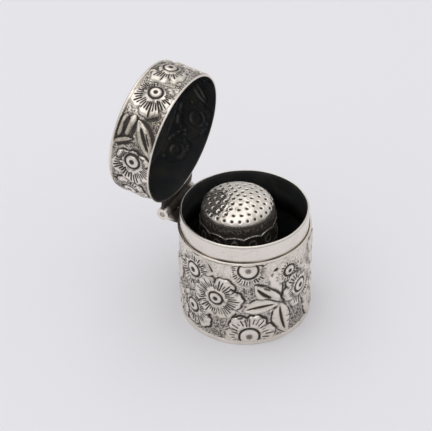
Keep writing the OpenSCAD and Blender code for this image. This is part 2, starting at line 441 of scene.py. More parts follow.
LID_FLOWERS = [
    Flower(12.0, 5.25, 4.2, 1.25, 0, tall=0.88, dashes=7, egg=0.35, outline=0.8, reach=-0.03),
    Flower(-22.2, 4.0, 3.7, 0.98, 10, tall=1.08, dashes=7, egg=0.42, shadow_side=-120,
           outline=0.6),
    Flower(-84.3, 3.5, 3.7, 1.16, 0, tall=1.04, dashes=7, egg=0.46, shadow_side=0),
    Flower(-123.0, 4.6, 3.8, 1.2, 15),
    Flower(48, 3.8, 4.0, 1.2, 6),
    Flower(108, 3.6, 4.2, 1.3, 0),
    Flower(142, 5.2, 3.2, 1.1, 10, petals=5),
    Flower(-152, 5.0, 3.2, 1.1, 0, petals=5),
]
LID_LEAVES = [
    Leaf((-49.4, 7.95), (-65.0, 7.95), 0.70, 0.0, vein=0.0, belly=0.9, round=1.0),
    Leaf((-48.2, 6.75), (-67.5, 7.10), 1.25, -0.12, vein=0.0, belly=0.75, round=1.0),
    Leaf((-46.2, 5.20), (-65.0, 5.65), 1.45, -0.25, vein=0.0, belly=0.7, round=1.0),
    Leaf((-48.8, 4.35), (-75.2, 0.15), 2.7, 0.0, vein=0.27, start=0.14, split=0.88, belly=0.95,
         shadow_side=0.6),
    Leaf((-72.6, 7.8), (-65.0, 4.4), 1.0, 0.1, vein=0.0, round=0.7),
    Leaf((66, 5.0), (90, 2.0), 2.4, 0.2),
    Leaf((66, 4.6), (88, 7.1), 2.0, 0.2),
    Leaf((124, 3.6), (130, 6.6), 1.8, 0.2),
]
LID_STROKES = [
    Stroke((-51.5, 7.50), (-66.0, 7.62), 0.20, 1.0),
    Stroke((-50.5, 6.02), (-66.0, 6.42), 0.27, 1.15),
    Stroke((-51.0, 4.62), (-64.5, 4.72), 0.28, 1.15),
    Stroke((-57.5, 2.10), (-65.5, 0.95), 0.17, 0.9),
    Stroke((-74.6, 7.0), (-68.2, 4.2), 0.26, 0.9),
    Stroke((-47.4, 3.1), (-43.0, 1.2), 0.18, 0.9),
    Stroke((-14.0, 7.4), (-11.0, 1.6), 0.22, 0.7),
]

# Spots of tarnish on the lid's wall: angle, rise, radius and strength
LID_TARNISH = [(-62.5, 6.8, 3.0, 1.0), (-47.0, 2.0, 2.2, 0.9), (-62.0, 2.0, 3.0, 0.75),
               (-118.0, 6.8, 2.4, 0.35)]

# Ornament of the lid's top, about its middle
TOP_FLOWER = Flower(0, 0, 7.0, 2.1, 10, petals=8, dashes=4)
TOP_LEAVES = 8


def smooth(low, high, x):
    """Smooth step from 0 at low to 1 at high."""
    t = np.clip((x - low) / (high - low), 0, 1)
    return t * t * (3 - 2 * t)


def hump(x, width):
    """Bell of height 1 round zero."""
    return np.exp(-((x / width) ** 2))


def waves(points, length, seed):
    """Smooth random field about zero over points, with bumps of about that length."""
    rng = np.random.default_rng(seed)
    total = np.zeros(points.shape[:-1])
    for _ in range(WAVE_COUNT):
        way = rng.normal(size=3)
        way *= 2 * math.pi * rng.uniform(0.6, 1.3) / length / np.linalg.norm(way)
        total += np.cos(points @ way + rng.uniform(0, 2 * math.pi))
    return total * math.sqrt(2 / WAVE_COUNT)


class Relief:
    """Height, patina with painted shade, and bare ground over a sheet; along and up are millimetres
    on the sheet.

    Drift and grain are slow and quick random fields that make the hand work uneven, and wear
    is low where handling has rubbed the dark out of the ground.
    """

    def __init__(self, points, along, up, girth=None, seed=1):
        self.points, self.along, self.up, self.girth = points, along, up, girth
        self.height = np.zeros_like(along)
        self.patina = np.zeros_like(along)
        self.ground = np.ones_like(along)
        self.wear = np.ones_like(along)
        self.drift = waves(points, 5.0, seed)
        self.grain = waves(points, 1.2, seed + 1)

    def from_point(self, along, up):
        """Offsets from a point, the short way round."""
        du = self.along - along
        if self.girth:
            du = (du + self.girth / 2) % self.girth - self.girth / 2
        return du, self.up - up

    def place(self, angle):
        """Distance along the sheet of an angle in degrees."""
        return self.girth * angle / 360 if self.girth else 0.0

    def lay(self, inside, height, patina):
        """Covers what lies below wherever inside is 1."""
        self.height += inside * (height - self.height)
        self.patina += inside * (patina - self.patina)
        self.ground *= 1 - inside

    def chase(self, line, depth, dark=1.0):
        """Cuts a dark line."""
        self.height -= line * depth
        self.patina = np.maximum(self.patina, line * dark)


def emboss_flower(relief, flower, sizes, rng):
    """Petals with chased dashes round a domed eye."""
    tall = sizes.relief / MM
    deep = sizes.groove / MM
    du, dv = relief.from_point(relief.place(flower.angle), flower.rise)
    dv = dv / flower.tall
    rho = np.hypot(du, dv)
    phi = np.arctan2(dv, du)
    n = flower.petals
    turn = math.radians(flower.turn)
    cell = (phi - turn) * n / (2 * math.pi)
    petal = np.round(cell).astype(int) % n
    lobe = np.abs(np.cos(np.pi * (cell - np.round(cell))))
    grown = 1 + 0.30 * rng.uniform(-1, 1, n)
    edge = flower.radius * (0.81 + 0.19 * lobe ** 0.68 * grown[petal])
    edge = edge * (1 + flower.egg * np.cos(phi - math.radians(flower.lean)))
    edge = edge * (1 + 0.022 * np.cos(phi * 3 * n + flower.angle)) + 0.07 * relief.drift
    gap = rho - edge
    groove_w = 0.42
    dash_w = 0.135
    groove_r = flower.eye + groove_w / 2
    t = np.clip((rho - groove_r) / (edge - groove_r), 0, 1)
    notch_gap = (0.5 - np.abs(cell - np.round(cell))) * 2 * math.pi / n * rho

    # patina on the outline and the eye's ring, with painted shadow: wider and darker on the shaded
    # side
    shadow_facing = 0.5 + 0.5 * np.cos(phi - math.radians(flower.shadow_side))
    hollow, shadow_dark = shadowed_hollow_beside(relief, gap, shadow_facing)
    relief.chase(hollow, deep * (0.4 + shadow_facing), shadow_dark * flower.outline)
    relief.ground *= 1 - 0.7 * hollow

    inside = smooth(-0.05, 0.09, -gap)
    rounded = 0.28 + 0.72 * smooth(0, 0.55, -gap)
    petals = tall * rounded * (1 - 0.42 * hump(t - 0.30, 0.28))
    # painted shade: darker round the eye and in the notches between petals, where the relief dips
    painted_shade = 0.16 * (1 - smooth(0.1, 0.9, rho - groove_r))
    painted_shade = painted_shade + 0.28 * hump(notch_gap, 0.5) * smooth(0.4, 1, t)
    relief.lay(inside, petals, painted_shade + 0.17 + 0.12 * relief.grain + 0.06 * relief.drift)
    valley = hump(notch_gap, 0.15) * smooth(0.55, 0.92, t) * inside
    relief.chase(valley, tall * 0.6, 0.9 * (0.4 + 0.6 * flower.outline) * relief.wear)

    count = n * flower.dashes
    spoke = (phi - turn) * count / (2 * math.pi)
    index = np.round(spoke).astype(int) % count
    across = (spoke - np.round(spoke)) * 2 * math.pi / count * rho
    start = rng.uniform(0.16, 0.36, count)[index] + flower.reach
    end = rng.uniform(0.58, 0.94, count)[index] + flower.reach
    strength = rng.uniform(0.60, 1.20, count)[index]
    strength = strength * (1 + 0.6 * flower.egg * np.cos(phi - math.radians(flower.lean)))
    window = smooth(start - 0.04, start + 0.06, t) * (1 - smooth(end - 0.10, end + 0.05, t))
    relief.chase(hump(across, dash_w) * window * strength * inside, tall * 0.50, 1.25)

    boss = smooth(-0.03, 0.10, flower.eye - rho)
    dome = np.sqrt(np.clip(1 - (rho / flower.eye) ** 2, 0, 1))
    relief.lay(boss, tall * (0.55 + 0.45 * dome), 0.0)
    ring = hump(rho - groove_r, groove_w * (0.50 + 0.12 * shadow_facing))
    relief.chase(ring, tall * 0.9, 1.05 + 0.15 * shadow_facing)
    dimple = np.exp(-((rho / (flower.eye * 0.45)) ** 4))
    relief.chase(dimple, tall * 0.42, flower.pupil)


def shadowed_hollow_beside(relief, gap, shadow_facing):
    """Soft hollow in the ground along an outline, and its darkness: patina, with painted shadow
    making both most on the shaded side.
    """
    broad = 0.18 + 0.48 * shadow_facing
    hollow = np.exp(-((np.clip(gap, 0, None) / broad) ** 1.8)) * smooth(-0.10, 0.03, gap)
    # patina along the outline, with painted shadow that darkens the shaded side, uneven with grain
    # and drift
    shadow_dark = 0.65 + 0.48 * shadow_facing + 0.18 * relief.grain + 0.10 * relief.drift
    return hollow, np.clip(shadow_dark, 0.15, 1.1) * relief.wear


def from_axis(relief, start, end):
    """Place of each point along a line on the sheet, from 0 to 1, and beside it; its length."""
    u0 = relief.place(start[0]) if relief.girth else start[0]
    u1 = relief.place(end[0]) if relief.girth else end[0]
    du, dv = relief.from_point(u0, start[1])
    axis = np.array([u1 - u0, end[1] - start[1]])
    if relief.girth:
        axis[0] = (axis[0] + relief.girth / 2) % relief.girth - relief.girth / 2
    length = np.hypot(*axis)
    axis = axis / length
    return (du * axis[0] + dv * axis[1]) / length, -du * axis[1] + dv * axis[0], length


def emboss_leaf(relief, leaf, sizes):
    """A leaf with a rounded half on each side of its dark vein."""
    tall = sizes.relief / MM
    deep = sizes.groove / MM
    x, y, length = from_axis(relief, leaf.root, leaf.tip)
    y = y - leaf.bend * 4 * x * (1 - x)
    along = np.clip(x, 0, 1)
    blunt = 0.70 - 0.35 * leaf.round
    half = leaf.width / 2 * np.sin(np.pi * along ** leaf.belly) ** blunt + 0.04 * relief.drift
    end_gap = np.maximum(-x, x - 1) * length
    out = np.where(end_gap > 0, np.hypot(y, end_gap), np.abs(y) - half)

    # patina beside the leaf, with painted shadow darker along one edge
    side = 0.5 + 0.5 * np.tanh(leaf.shadow_side * y * 4 / leaf.width)
    hollow, shadow_dark = shadowed_hollow_beside(relief, out, side)
    hollow = hollow * (x > -0.02)
    relief.chase(hollow, deep * (0.4 + side), shadow_dark)
    relief.ground *= 1 - 0.7 * hollow

    inside = smooth(-0.05, 0.09, -out)
    q = np.clip(np.abs(y) / np.maximum(half, 0.05), 0, 1)
    halves = 0.25 + 0.75 * np.sin(np.pi * np.clip(q * 0.88 + 0.08, 0, 1))
    bulb = 0.10 + 0.90 * np.sqrt(1 - q ** 2)
    profile = halves * (1 - leaf.round) + bulb * leaf.round
    # painted shade: darker towards the edges of each half and at the root, where the relief falls
    # away
    painted_shade = (0.34 + 0.24 * leaf.round) * q ** 3 + 0.22 * (1 - smooth(0.0, 0.16, x))
    relief.lay(inside, tall * profile, painted_shade * (1 + 0.3 * relief.grain))
    if leaf.vein:
        stretch = smooth(leaf.start, leaf.start + 0.14, x)
        stretch = stretch * (1 - smooth(leaf.split - 0.12, leaf.split, x))
        reach = np.clip((x - leaf.start) / (leaf.split - leaf.start), 0, 1)
        swell = leaf.vein * (0.35 + 0.85 * np.sin(np.pi * reach))
        relief.chase(hump(y, swell) * stretch * inside, tall * 0.8, 1.15)
        ribs = (x * length - np.abs(y) * 0.9) / 0.75
        rib = hump(ribs - np.round(ribs), 0.16) * smooth(0.35, 0.8, q) * (x < 0.9) * inside
        relief.chase(rib, tall * 0.12, 0.30 + 0.15 * relief.grain)
    for k in range(leaf.notches):
        at = 0.55 + 0.16 * k
        slope = (x - at) * length - 0.55 * (np.abs(y) - half)
        cut = hump(slope, 0.13) * smooth(0.30, 0.65, q) * (y > 0) * inside
        relief.chase(cut, tall * 0.5, 1.0)


def chase_stroke(relief, stroke, sizes):
    """One line of the chasing tool, thick in the middle and thin at its ends."""
    x, y, length = from_axis(relief, stroke.start, stroke.end)
    beyond = np.maximum(np.maximum(-x, x - 1), 0) * length
    width = stroke.width * (0.6 + 0.4 * np.sin(np.pi * np.clip(x, 0, 1)))
    line = hump(np.hypot(y, beyond), width)
    relief.chase(line, sizes.groove / MM * 1.5, stroke.dark)
    relief.ground *= 1 - line


def ring_mesh(name, rings, ends="loop"):
    """Mesh of rings of points, in metres: a closed loop of rings, or a shell with two poles.

    Faces point outwards when the rings climb the outside and come down the inside.
    """
    count, columns = rings.shape[:2]
    index = np.arange(count * columns).reshape(count, columns)
    if ends == "loop":
        index = np.vstack([index, index[:1]])
    after = np.roll(index, -1, axis=1)
    quads = np.stack([index[:-1], after[:-1], after[1:], index[1:]], axis=-1)
    points = rings.reshape(-1, 3)
    faces = quads.reshape(-1, 4).tolist()
    if ends == "poles":
        first = len(points)
        faces += [[first, int(b), int(a)] for a, b in zip(index[0], after[0])]
        faces += [[int(a), int(b), first + 1] for a, b in zip(index[-1], after[-1])]
        points = np.vstack([points, rings[0].mean(0), rings[-1].mean(0)])
    mesh = bpy.data.meshes.new(name)
    mesh.from_pydata(points.tolist(), [], faces)
    mesh.update()
    mesh.shade_smooth()
    return mesh


def store(mesh, name, values):
    """Stores one number for each point of a mesh; two poles get the mean of the ring beside."""
    full = np.zeros(len(mesh.vertices), np.float32)
    flat = np.asarray(values, np.float32).ravel()
    full[: len(flat)] = flat
    if len(full) == len(flat) + 2:
        full[-2:] = np.mean(values[0]), np.mean(values[-1])
    layer = mesh.attributes.new(name, "FLOAT", "POINT")
    layer.data.foreach_set("value", full)


def use_second_material(mesh, columns, first_ring, last_ring, pole=None):
    """Gives the faces between two rings the mesh's second material, and those at pole 0 or 1."""
    picked = np.zeros(len(mesh.polygons), np.int32)
    picked[first_ring * columns : last_ring * columns] = 1
    if pole is not None:
        start = len(picked) - (2 - pole) * columns
        picked[start : start + columns] = 1
    mesh.polygons.foreach_set("material_index", picked)


def place(name, mesh, materials):
    """Object at the origin that shows a mesh whose points hold its place."""
    obj = bpy.data.objects.new(name, mesh)
    bpy.context.scene.collection.objects.link(obj)
    for material in materials:
        mesh.materials.append(material)
    return obj


def settle(obj):
    """Turns what the modifiers make into the object's own mesh, and removes them."""
    graph = bpy.context.evaluated_depsgraph_get()
    mesh = bpy.data.meshes.new_from_object(obj.evaluated_get(graph), depsgraph=graph)
    old = obj.data
    obj.modifiers.clear()
    obj.data = mesh
    if old.users == 0:
        bpy.data.meshes.remove(old)
    mesh.name = obj.name


def declare(obj, body, node):
    """Puts a piece on the body that carries it and hides the CAD node that it stands for."""
    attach(obj, body)
    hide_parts(node)


def arc(cx, cz, radius, start, end, steps):
    """Points of an arc of a profile, angles in degrees."""
    turns = np.radians(np.linspace(start, end, steps))
    return [(cx + radius * math.cos(a), cz + radius * math.sin(a)) for a in turns]


def turned(profile, columns):
    """Rings of a profile of (radius, height) turned round the Z axis."""
    profile = np.asarray(profile, float)
    turn = np.linspace(-math.pi, math.pi, columns, endpoint=False)
    radius = profile[:, 0][:, None]
    height = np.repeat(profile[:, 1][:, None], columns, axis=1)
    return np.stack([radius * np.cos(turn), radius * np.sin(turn), height], axis=-1)


def push_out(rings, amount):
    """Moves points away from the Z axis by an amount for each point."""
    radius = np.maximum(np.hypot(rings[..., 0], rings[..., 1]), 1e-6)
    rings[..., :2] *= (1 + amount / radius)[..., None]


def wall_relief(sizes, points, wall):
    """Relief of a decorated wall on its grid of points, with a plain band along each edge."""
    low, high = wall.span
    bands, worn = wall.bands, wall.worn
    girth = 2 * math.pi * CASE_R
    angles = np.arctan2(points[..., 1], points[..., 0])
    from_low, from_high = points[..., 2] - low, high - points[..., 2]
    relief = Relief(points, angles / (2 * math.pi) * girth, from_low, girth, wall.seed)
    relief.wear = 0.62 + 0.38 * smooth(0.3 * worn, worn, from_high)
    rng = np.random.default_rng(wall.seed)
    for leaf in wall.leaves:
        emboss_leaf(relief, leaf, sizes)
    for flower in wall.flowers:
        emboss_flower(relief, flower, sizes, rng)
    for stroke in wall.strokes:
        chase_stroke(relief, stroke, sizes)
    plain = 1 - smooth(bands[0] - 0.08, bands[0] + 0.08, from_low)
    plain = np.maximum(plain, 1 - smooth(bands[1] - 0.08, bands[1] + 0.08, from_high))
    relief.lay(plain, CASE_R - OUTER_R + sizes.relief / MM, 0.0)
    deep = sizes.groove / MM
    relief.ground *= 0.45 + 0.55 * smooth(0.3 * worn, worn, from_high)
    relief.chase(hump(from_low - bands[0] - 0.12, 0.10), deep * 0.6, 0.30 + 0.12 * relief.drift)
    # dark groove under the upper band: dirt and painted shade along the ledge
    relief.chase(hump(from_high - bands[1] - 0.14, 0.12), deep * 1.2, 0.7 + 0.2 * relief.drift)
    return relief


def tarnish_on(relief, spots):
    """Olive tarnish that has gathered in a few places."""
    total = np.zeros_like(relief.along)
    for angle, rise, radius, strength in spots:
        du, dv = relief.from_point(relief.place(angle), rise)
        spread = np.hypot(du, dv) / radius + 0.18 * relief.grain
        total = np.maximum(total, strength * (1 - smooth(0.45, 1.15, spread)))
    rubbed = np.clip(relief.height / relief.height.max(), 0, 1) ** 3
    relief.patina += 0.32 * total * (1 - 0.5 * rubbed)
    return total * (1 - 0.30 * rubbed)


def decorated_wall(name, sizes, wall):
    """Mesh of an embossed tube, with its patina and painted shade, bare ground and tarnish."""
    low, high = wall.span
    columns, inner_r = wall.columns, wall.inner_r
    rim_low, rim_high = wall.rims
    ground_r = OUTER_R - sizes.relief / MM
    step = 2 * math.pi * ground_r / columns
    rows = int(round((high - low - rim_low - rim_high) / step))
    heights = np.linspace(low + rim_low, high - rim_high, rows)
    outer = turned([(ground_r, z) for z in heights], columns)
    relief = wall_relief(sizes, outer, wall)
    push_out(outer, relief.height)
    top = arc(CASE_R - rim_high, high - rim_high, rim_high, 22, 90, 4)
    top += arc(inner_r + rim_high, high - rim_high, rim_high, 90, 180, 5)
    bottom = arc(inner_r + rim_low, low + rim_low, rim_low, 180, 270, 5)
    bottom += arc(CASE_R - rim_low, low + rim_low, rim_low, 270, 338, 4)
    inner_heights = np.linspace(high - rim_high, low + rim_low, wall.inner_rows + 2)[1:-1]
    inner = turned([(inner_r, z) for z in inner_heights], columns)
    if wall.hollow:
        picked = np.searchsorted(heights, inner_heights).clip(0, rows - 1)
        fade = smooth(0.25, 0.8, inner_heights - low) * smooth(0.3, 0.9, high - inner_heights)
        sunk = np.clip(relief.height[picked], 0, None) * wall.hollow
        push_out(inner, sunk * fade[:, None])
    rings = np.concatenate([outer, turned(top, columns), inner, turned(bottom, columns)])
    mesh = ring_mesh(name, rings * MM)
    store(mesh, "tarnish", tarnish_on(relief, wall.tarnish))
    store(mesh, "patina", relief.patina)
    store(mesh, "ground", relief.ground)
    use_second_material(mesh, columns, rows + wall.dark_from,
                        rows + len(top) + wall.inner_rows + 3)
    return mesh


class Tree:
    """Short way to add and join nodes in one tree."""

    def __init__(self, tree):
        self.tree = tree

    def add(self, kind, inputs=None, **settings):
        """Adds a node, sets its options and then its inputs, which are values or sockets."""
        node = self.tree.nodes.new(kind)
        for key, value in settings.items():
            setattr(node, key, value)
        for key, value in (inputs or {}).items():
            self.feed(node.inputs[key], value)
        return node

    def feed(self, socket, value):
        """Links a socket to an input, or sets its value."""
        if isinstance(value, bpy.types.NodeSocket):
            self.tree.links.new(value, socket)
        else:
            socket.default_value = value

    def math(self, operation, *values):
        """One maths node on sockets or numbers."""
        kind = "ShaderNodeMath"
        return self.add(kind, dict(enumerate(values)), operation=operation).outputs[0]

    def ramp(self, value, low, high, to_low=0.0, to_high=1.0):
        """Smooth step of a value from one range to another."""
        inputs = {"Value": value, "From Min": low, "From Max": high,
                  "To Min": to_low, "To Max": to_high}
        node = self.add("ShaderNodeMapRange", inputs, interpolation_type="SMOOTHSTEP")
        return node.outputs["Result"]

    def mix(self, factor, low, high):
        """Mix of two colours."""
        node = self.add("ShaderNodeMix", data_type="RGBA")
        self.feed(node.inputs[0], factor)
        self.feed(node.inputs[6], low)
        self.feed(node.inputs[7], high)
        return node.outputs[2]

    def noise(self, where, scale, detail, roughness=0.5):
        """Smooth noise from 0 to 1."""
        inputs = {"Vector": where, "Scale": scale, "Detail": detail, "Roughness": roughness}
        return self.add("ShaderNodeTexNoise", inputs).outputs["Fac"]

    def mesh_number(self, name):
        """Number that a mesh stores for each of its points, in a Geometry Nodes tree."""
        node = self.add("GeometryNodeInputNamedAttribute", {"Name": name}, data_type="FLOAT")
        return node.outputs["Attribute"]


def new_group(name, kind, inputs, outputs):
    """Node group with named sockets; returns it with its input and output nodes."""
    group = bpy.data.node_groups.new(name, kind)
    for label, socket_type, value in inputs:
        socket = group.interface.new_socket(label, in_out="INPUT", socket_type=socket_type)
        if value is not None:
            socket.default_value = value
    for label, socket_type in outputs:
        group.interface.new_socket(label, in_out="OUTPUT", socket_type=socket_type)
    tree = Tree(group)
    return group, tree, tree.add("NodeGroupInput"), tree.add("NodeGroupOutput")


def run_tree(obj, group, values):
    """Runs a Geometry Nodes tree on an object and keeps what it makes as a plain mesh."""
    modifier = obj.modifiers.new(group.name, "NODES")
    modifier.node_group = group
    named = {s.name: s.identifier for s in group.interface.items_tree if s.in_out == "INPUT"}
    for label, value in values.items():
        modifier[named[label]] = value
    settle(obj)


def geometry_group(name, inputs):
    """Geometry Nodes group with a geometry, inputs of its own and the two finishes."""
    return new_group(name, "GeometryNodeTree",
                     [("Geometry", "NodeSocketGeometry", None), *inputs,
                      ("Silver", "NodeSocketMaterial", None),
                      ("Inside", "NodeSocketMaterial", None)],
                     [("Geometry", "NodeSocketGeometry")])


def lift_and_finish(tree, start, end, lift, dark):
    """Ends a Geometry Nodes tree: moves the surface out, darkens it and sets its finishes."""
    normal = tree.add("GeometryNodeInputNormal").outputs[0]
    offset = tree.add("ShaderNodeVectorMath", {0: normal, "Scale": lift}, operation="SCALE")
    moved = tree.add("GeometryNodeSetPosition",
                     {"Geometry": start.outputs["Geometry"], "Offset": offset.outputs[0]})
    patina = tree.math("MAXIMUM", tree.mesh_number("patina"), dark)
    stored = tree.add("GeometryNodeStoreNamedAttribute",
                      {"Geometry": moved.outputs[0], "Name": "patina", "Value": patina},
                      data_type="FLOAT", domain="POINT")
    real = tree.add("GeometryNodeRealizeInstances", {"Geometry": stored.outputs[0]})
    slot = tree.add("GeometryNodeInputMaterialIndex").outputs[0]
    done = real.outputs[0]
    for number, label in enumerate(("Silver", "Inside")):
        picked = tree.add("FunctionNodeCompare", {2: slot, 3: number}, data_type="INT",
                          operation="EQUAL")
        finished = tree.add("GeometryNodeSetMaterial",
                            {"Geometry": done, "Selection": picked.outputs[0],
                             "Material": start.outputs[label]})
        done = finished.outputs[0]
    tree.feed(end.inputs["Geometry"], done)


def matting_tree():
    """Geometry Nodes tree that covers the bare ground of a sheet with punch marks."""
    group, tree, start, end = geometry_group(
        "Matting",
        [("Pitch", "NodeSocketFloat", 0.3 * MM), ("Depth", "NodeSocketFloat", 0.07 * MM),
         ("Seed", "NodeSocketFloat", 1.0)])
    where = tree.add("GeometryNodeInputPosition").outputs[0]
    ground = tree.mesh_number("ground")
    marks = tree.add(
        "ShaderNodeTexNoise",
        {"Vector": where, "W": start.outputs["Seed"], "Detail": 0.0,
         "Scale": tree.math("DIVIDE", 1.0, start.outputs["Pitch"])},
        noise_dimensions="4D")
    mask = tree.math("MULTIPLY", tree.ramp(marks.outputs["Fac"], 0.57, 0.43), ground)
    lift = tree.math("MULTIPLY", mask, tree.math("MULTIPLY", start.outputs["Depth"], -1.0))
    bare = tree.math("MULTIPLY", ground, 0.36)
    lift_and_finish(tree, start, end, lift, tree.math("MULTIPLY_ADD", mask, 0.46, bare))
    return group


def punch_ground(obj, sizes, seed, finishes):
    """Covers an object's bare ground with punch marks and sets its finishes."""
    run_tree(obj, matting_tree(), {"Pitch": sizes.punch, "Depth": sizes.matting, "Seed": seed,
                                   "Silver": finishes[0], "Inside": finishes[1]})


def dimple_tree():
    """Geometry Nodes tree that sinks rings of dimples into the thimble's dome and side."""
    group, tree, start, end = geometry_group(
        "Thimble Dimples",
        [("Profile", "NodeSocketObject", None), ("Rings", "NodeSocketInt", 7),
         ("Pitch", "NodeSocketFloat", 1.42 * MM), ("Width", "NodeSocketFloat", 0.95 * MM),
         ("Depth", "NodeSocketFloat", 0.24 * MM)])
    profile = tree.add("GeometryNodeObjectInfo", {"Object": start.outputs["Profile"]})
    nothing = tree.add("GeometryNodeMeshLine", {"Count": 1, "Start Location": (0.0, 0.0, -1.0)})
    enter = tree.add("GeometryNodeRepeatInput")
    leave = tree.add("GeometryNodeRepeatOutput")
    enter.pair_with_output(leave)
    leave.repeat_items.new("INT", "Ring")
    tree.feed(enter.inputs["Iterations"], start.outputs["Rings"])
    tree.feed(enter.inputs["Geometry"], nothing.outputs[0])
    tree.feed(enter.inputs["Ring"], 0)
    ring = enter.outputs["Ring"]
    row = tree.math("MULTIPLY", start.outputs["Pitch"], 0.88)
    length = tree.math("MULTIPLY", ring, row)
    at = tree.add("GeometryNodeSampleCurve",
                  {"Curves": profile.outputs["Geometry"], "Length": length},
                  mode="LENGTH", use_all_curves=True)
    spot = tree.add("ShaderNodeSeparateXYZ", {0: at.outputs["Position"]})
    girth = tree.math("MULTIPLY", spot.outputs["X"], 2 * math.pi)
    count = tree.math("ROUND", tree.math("DIVIDE", girth, start.outputs["Pitch"]))
    count = tree.math("MAXIMUM", count, 3.0)
    circle = tree.add("GeometryNodeMeshCircle",
                      {"Vertices": count, "Radius": spot.outputs["X"]}, fill_type="NONE")
    lift = tree.add("ShaderNodeCombineXYZ", {"Z": spot.outputs["Z"]})
    spin = tree.add("ShaderNodeCombineXYZ", {"Z": tree.math("MULTIPLY", ring, 2.4)})
    placed = tree.add("GeometryNodeTransform",
                      {"Geometry": circle.outputs[0], "Translation": lift.outputs[0],
                       "Rotation": spin.outputs[0]})
    joined = tree.add("GeometryNodeJoinGeometry")
    tree.tree.links.new(placed.outputs[0], joined.inputs[0])
    tree.tree.links.new(enter.outputs["Geometry"], joined.inputs[0])
    tree.feed(leave.inputs["Geometry"], joined.outputs[0])
    tree.feed(leave.inputs["Ring"], tree.math("ADD", ring, 1.0))

    centre = tree.add("GeometryNodeTransform",
                      {"Geometry": leave.outputs["Geometry"],
                       "Translation": (THIMBLE_X * MM, THIMBLE_Y * MM, BASE_T * MM)})
    near = tree.add("GeometryNodeProximity", {"Geometry": centre.outputs[0]},
                    target_element="POINTS")
    reach = tree.math("DIVIDE", near.outputs["Distance"],
                      tree.math("MULTIPLY", start.outputs["Width"], 0.5))
    outside = tree.mesh_number("ground")
    cup = tree.ramp(reach, 1.12, 0.25)
    lip = tree.math("MULTIPLY", tree.ramp(reach, 1.55, 1.15), tree.ramp(reach, 0.85, 1.15))
    depth = tree.math("MULTIPLY", cup, start.outputs["Depth"])
    raised = tree.math("MULTIPLY", lip, tree.math("MULTIPLY", start.outputs["Depth"], 0.10))
    lift = tree.math("MULTIPLY", tree.math("SUBTRACT", raised, depth), outside)
    dark = tree.math("MULTIPLY", tree.ramp(reach, 0.95, 0.45, 0.0, 0.95), outside)
    lift_and_finish(tree, start, end, lift, dark)
    return group


def patina_and_shade_group():
    """Shader group: silver with brown-black oxide where the amount of patina and painted shade is
    high.
    """
    group, tree, start, end = new_group(
        "Settled Patina", "ShaderNodeTree",
        [("Silver", "NodeSocketColor", (0.8, 0.8, 0.8, 1.0)),
         ("Oxide", "NodeSocketColor", (0.04, 0.03, 0.03, 1.0)),
         ("Amount", "NodeSocketFloat", 0.0), ("Breakup", "NodeSocketFloat", 0.3),
         ("Tarnish", "NodeSocketFloat", 0.0),
         ("Tarnish Color", "NodeSocketColor", (0.26, 0.22, 0.135, 1.0)),
         ("Film", "NodeSocketFloat", 0.12), ("Grain", "NodeSocketFloat", 4600.0),
         ("Polish", "NodeSocketFloat", 0.22), ("Dull", "NodeSocketFloat", 0.6),
         ("Metal", "NodeSocketFloat", 1.0)],
        [("Color", "NodeSocketColor"), ("Roughness", "NodeSocketFloat"),
         ("Metallic", "NodeSocketFloat")])
    where = tree.add("ShaderNodeTexCoord").outputs["Object"]
    grain = tree.noise(where, start.outputs["Grain"], 3.0, 0.6)
    cloud = tree.noise(where, 260.0, 3.0)
    fine = tree.math("SUBTRACT", grain, 0.5)
    broken = tree.math("MULTIPLY_ADD", fine, start.outputs["Breakup"], start.outputs["Amount"])
    amount = tree.ramp(broken, 0.12, 0.80)
    film = tree.ramp(cloud, 0.40, 0.75)
    film = tree.math("MULTIPLY", film, start.outputs["Film"])
    mottled = tree.ramp(grain, 0.25, 0.65, 0.35, 1.0)
    film = tree.math("MAXIMUM", film, tree.math("MULTIPLY", mottled, start.outputs["Tarnish"]))
    tarnished = tree.mix(film, start.outputs["Silver"], start.outputs["Tarnish Color"])
    colour = tree.mix(amount, tarnished, start.outputs["Oxide"])
    rough = tree.add("ShaderNodeMapRange",
                     {"Value": amount, "To Min": start.outputs["Polish"],
                      "To Max": start.outputs["Dull"]}).outputs["Result"]
    rough = tree.math("MULTIPLY_ADD", fine, 0.12, rough)
    rough = tree.math("MULTIPLY_ADD", film, 0.22, rough)
    metal = tree.math("MULTIPLY_ADD", amount, -0.55, start.outputs["Metal"])
    metal = tree.math("MULTIPLY_ADD", film, -0.40, metal)
    tree.feed(end.inputs["Color"], colour)
    tree.feed(end.inputs["Roughness"], rough)
    tree.feed(end.inputs["Metallic"], metal)
    return group


def scratch_group():
    """Shader group: height of fine scratches, stretched along two of the axes."""
    group, tree, start, end = new_group(
        "Fine Scratches", "ShaderNodeTree",
        [("Stretch", "NodeSocketVector", (40.0, 40.0, 900.0)), ("Wear", "NodeSocketFloat", 0.5)],
        [("Height", "NodeSocketFloat")])
    where = tree.add("ShaderNodeTexCoord").outputs["Object"]
    scaled = tree.add("ShaderNodeVectorMath", {0: where, 1: start.outputs["Stretch"]},
                      operation="MULTIPLY")
    lines = tree.noise(scaled.outputs[0], 12.0, 4.0, 0.7)
    pits = tree.noise(where, 3500.0, 2.0)
    height = tree.math("MULTIPLY_ADD", lines, start.outputs["Wear"],
                       tree.math("MULTIPLY", pits, 0.35))
    tree.feed(end.inputs["Height"], height)
    return group


def shader_group(name, build):
    """The shader group of that name, built once."""
    return bpy.data.node_groups.get(name) or build()


def rgba(colour):
    """A property's colour with full opacity."""
    return (*colour, 1.0)


